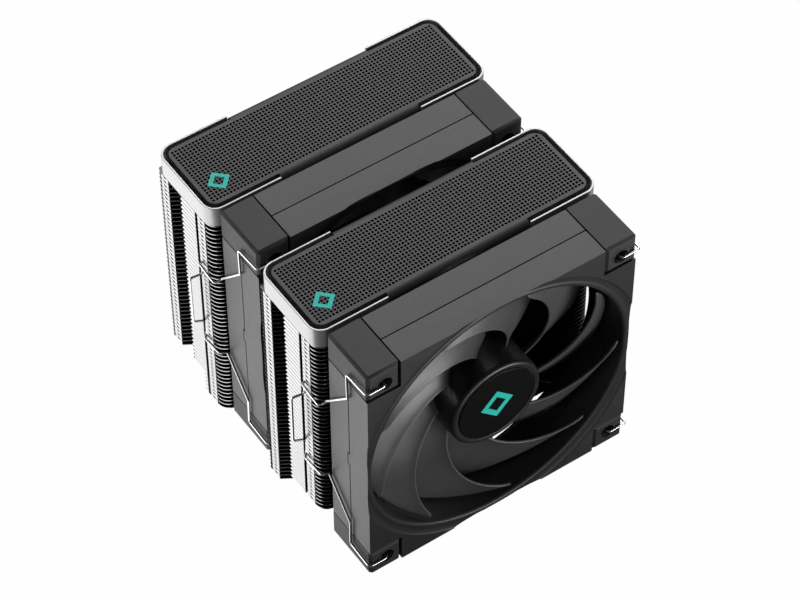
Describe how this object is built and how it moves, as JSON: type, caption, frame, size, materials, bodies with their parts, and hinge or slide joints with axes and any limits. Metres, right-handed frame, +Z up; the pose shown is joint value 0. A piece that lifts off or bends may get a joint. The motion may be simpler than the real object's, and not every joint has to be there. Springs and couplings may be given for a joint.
{
  "type": "processor tower cooler",
  "caption": "Dual-tower processor air cooler with U-shaped heat pipes, folded fin stacks, capped tops and clip-on axial fans in front of each tower.",
  "frame": {"origin": "centre of the cold plate's bottom face", "axes": "+Z up from the processor, +Y along the airflow of both fans, +X to the right seen from the front fan"},
  "size_m": [0.1356, 0.1384, 0.16],
  "materials": {
    "nickel_plate": "satin nickel plating over copper",
    "aluminium": "bare sheet",
    "steel": "bright nickel plated",
    "dark_metal": "dark oxide",
    "silver_cover": "silver satin",
    "black_plastic": "fine satin grain",
    "gloss_badge": "satin black with a teal motif",
    "rubber_pad": "matt",
    "bronze": "turned",
    "board": "solder mask"
  },
  "bodies": {
    "heatsink": {"cold_plate": "nickel_plate", "base_clamp_block": "aluminium", "mounting_bar": "steel", "bar_fixing_screw_left": "steel", "bar_fixing_screw_right": "steel", "heat_pipe_1": "nickel_plate", "heat_pipe_2": "nickel_plate", "heat_pipe_3": "nickel_plate", "heat_pipe_4": "nickel_plate", "heat_pipe_5": "nickel_plate", "heat_pipe_6": "nickel_plate", "front_fin_stack": "aluminium", "rear_fin_stack": "aluminium", "front_cover_tray": "silver_cover", "rear_cover_tray": "silver_cover", "front_cover_grille": "black_plastic", "rear_cover_grille": "black_plastic", "screw_spring_left": "steel", "screw_spring_right": "steel"},
    "front_fan": {"front_fan_front_shell": "black_plastic", "front_fan_rear_shell": "black_plastic", "front_fan_pad_top_left": "rubber_pad", "front_fan_pad_top_right": "rubber_pad", "front_fan_pad_bottom_left": "rubber_pad", "front_fan_pad_bottom_right": "rubber_pad", "front_fan_stator_core": "dark_metal", "front_fan_bearing_sleeve": "bronze", "front_fan_circuit_board": "board"},
    "front_fan_impeller": {"front_fan_rotor": "black_plastic", "front_fan_hub_badge": "gloss_badge", "front_fan_rotor_shaft": "steel", "front_fan_magnet_ring": "dark_metal"},
    "front_fan_clip_left": {"front_fan_clip_left": "steel"},
    "front_fan_clip_right": {"front_fan_clip_right": "steel"},
    "mid_fan": {"mid_fan_front_shell": "black_plastic", "mid_fan_rear_shell": "black_plastic", "mid_fan_pad_top_left": "rubber_pad", "mid_fan_pad_top_right": "rubber_pad", "mid_fan_pad_bottom_left": "rubber_pad", "mid_fan_pad_bottom_right": "rubber_pad", "mid_fan_stator_core": "dark_metal", "mid_fan_bearing_sleeve": "bronze", "mid_fan_circuit_board": "board"},
    "mid_fan_impeller": {"mid_fan_rotor": "black_plastic", "mid_fan_hub_badge": "gloss_badge", "mid_fan_rotor_shaft": "steel", "mid_fan_magnet_ring": "dark_metal"},
    "mid_fan_clip_left": {"mid_fan_clip_left": "steel"},
    "mid_fan_clip_right": {"mid_fan_clip_right": "steel"},
    "screw_carrier_left": {"screw_clip_left": "dark_metal"},
    "spring_screw_left": {"spring_screw_left": "steel"},
    "screw_carrier_right": {"screw_clip_right": "dark_metal"},
    "spring_screw_right": {"spring_screw_right": "steel"}
  },
  "joints": [
    {"name": "front_fan_slide", "type": "slide", "parent": "heatsink", "child": "front_fan", "axis": [0, 0, 1], "range_m": [0, 0.025]},
    {"name": "front_fan_spin", "type": "hinge", "parent": "front_fan", "child": "front_fan_impeller", "pos_m": [0, -0.08215, 0.1], "axis": [0, -1, 0], "continuous": true},
    {"name": "front_fan_clip_left_swing", "type": "hinge", "parent": "front_fan", "child": "front_fan_clip_left", "pos_m": [-0.0525, -0.07955, 0.1], "axis": [0, 0, 1], "range_deg": [0, 35]},
    {"name": "front_fan_clip_right_swing", "type": "hinge", "parent": "front_fan", "child": "front_fan_clip_right", "pos_m": [0.0525, -0.07955, 0.1], "axis": [0, 0, -1], "range_deg": [0, 35]},
    {"name": "mid_fan_slide", "type": "slide", "parent": "heatsink", "child": "mid_fan", "axis": [0, 0, 1], "range_m": [0, 0.025]},
    {"name": "mid_fan_spin", "type": "hinge", "parent": "mid_fan", "child": "mid_fan_impeller", "pos_m": [0, -0.01075, 0.1], "axis": [0, -1, 0], "continuous": true},
    {"name": "mid_fan_clip_left_swing", "type": "hinge", "parent": "mid_fan", "child": "mid_fan_clip_left", "pos_m": [-0.0525, -0.00815, 0.1], "axis": [0, 0, 1], "range_deg": [0, 35]},
    {"name": "mid_fan_clip_right_swing", "type": "hinge", "parent": "mid_fan", "child": "mid_fan_clip_right", "pos_m": [0.0525, -0.00815, 0.1], "axis": [0, 0, -1], "range_deg": [0, 35]},
    {"name": "spring_screw_left_press", "type": "slide", "parent": "heatsink", "child": "screw_carrier_left", "axis": [0, 0, -1], "range_m": [0, 0.003], "stiffness_N_per_m": 9000, "springref_m": -0.001, "deforming": ["screw_spring_left"]},
    {"name": "spring_screw_left_turn", "type": "hinge", "parent": "screw_carrier_left", "child": "spring_screw_left", "pos_m": [-0.041, 0, 0], "axis": [0, 0, 1], "continuous": true},
    {"name": "spring_screw_right_press", "type": "slide", "parent": "heatsink", "child": "screw_carrier_right", "axis": [0, 0, -1], "range_m": [0, 0.003], "stiffness_N_per_m": 9000, "springref_m": -0.001, "deforming": ["screw_spring_right"]},
    {"name": "spring_screw_right_turn", "type": "hinge", "parent": "screw_carrier_right", "child": "spring_screw_right", "pos_m": [0.041, 0, 0], "axis": [0, 0, 1], "continuous": true}
  ]
}
